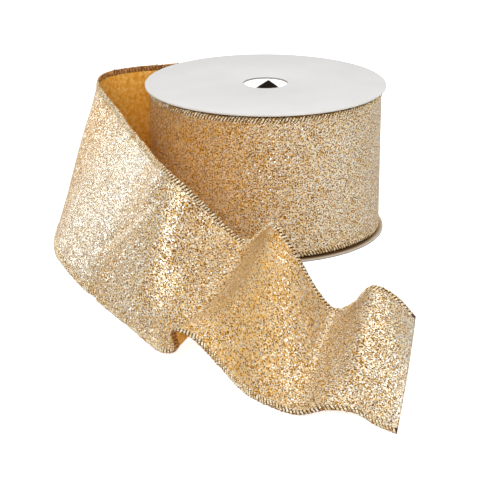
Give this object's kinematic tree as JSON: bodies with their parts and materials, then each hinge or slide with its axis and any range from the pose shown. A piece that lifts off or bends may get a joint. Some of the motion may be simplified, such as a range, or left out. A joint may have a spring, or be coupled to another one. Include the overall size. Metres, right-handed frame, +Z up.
{
  "type": "ribbon spool",
  "caption": "Card spool with flat flanges and a through bore, wound with wired glitter ribbon whose free end bends round to lie in waves in front of the roll.",
  "frame": {"origin": "centre of the bottom flange's outer face, on the surface that the spool stands on", "axes": "+Z up along the spool's bore; the free end leaves the roll at the back (+Y) towards -X and lies in front (-Y)"},
  "size_m": [0.148, 0.278, 0.0668],
  "materials": {
    "white_card": "smooth white coated board, matt",
    "paper_tape": "plain gummed paper tape",
    "glitter_fabric": "fine pale gold glitter bonded to one face, smooth ochre satin on the other",
    "gold_thread": "metallic gold overlocking thread",
    "edge_wire": "thin soft drawn wire"
  },
  "bodies": {
    "spool": {"bottom_flange": "white_card", "top_flange": "white_card", "core_tube": "white_card", "starter_tape": "paper_tape", "wound_fabric": "glitter_fabric", "wound_lower_edges": "gold_thread", "wound_upper_edges": "gold_thread"},
    "ribbon": {"outer_turn_fabric": "glitter_fabric", "outer_turn_lower_edge": "gold_thread", "outer_turn_upper_edge": "gold_thread", "outer_turn_lower_wire": "edge_wire", "outer_turn_upper_wire": "edge_wire", "tail_fabric": "glitter_fabric", "tail_lower_edge": "gold_thread", "tail_upper_edge": "gold_thread", "tail_lower_wire": "edge_wire", "tail_upper_wire": "edge_wire"}
  },
  "joints": [
    {"name": "unwind", "type": "hinge", "parent": "spool", "child": "ribbon", "pos_m": [0, 0, 0], "axis": [0, 0, 1], "continuous": true}
  ]
}
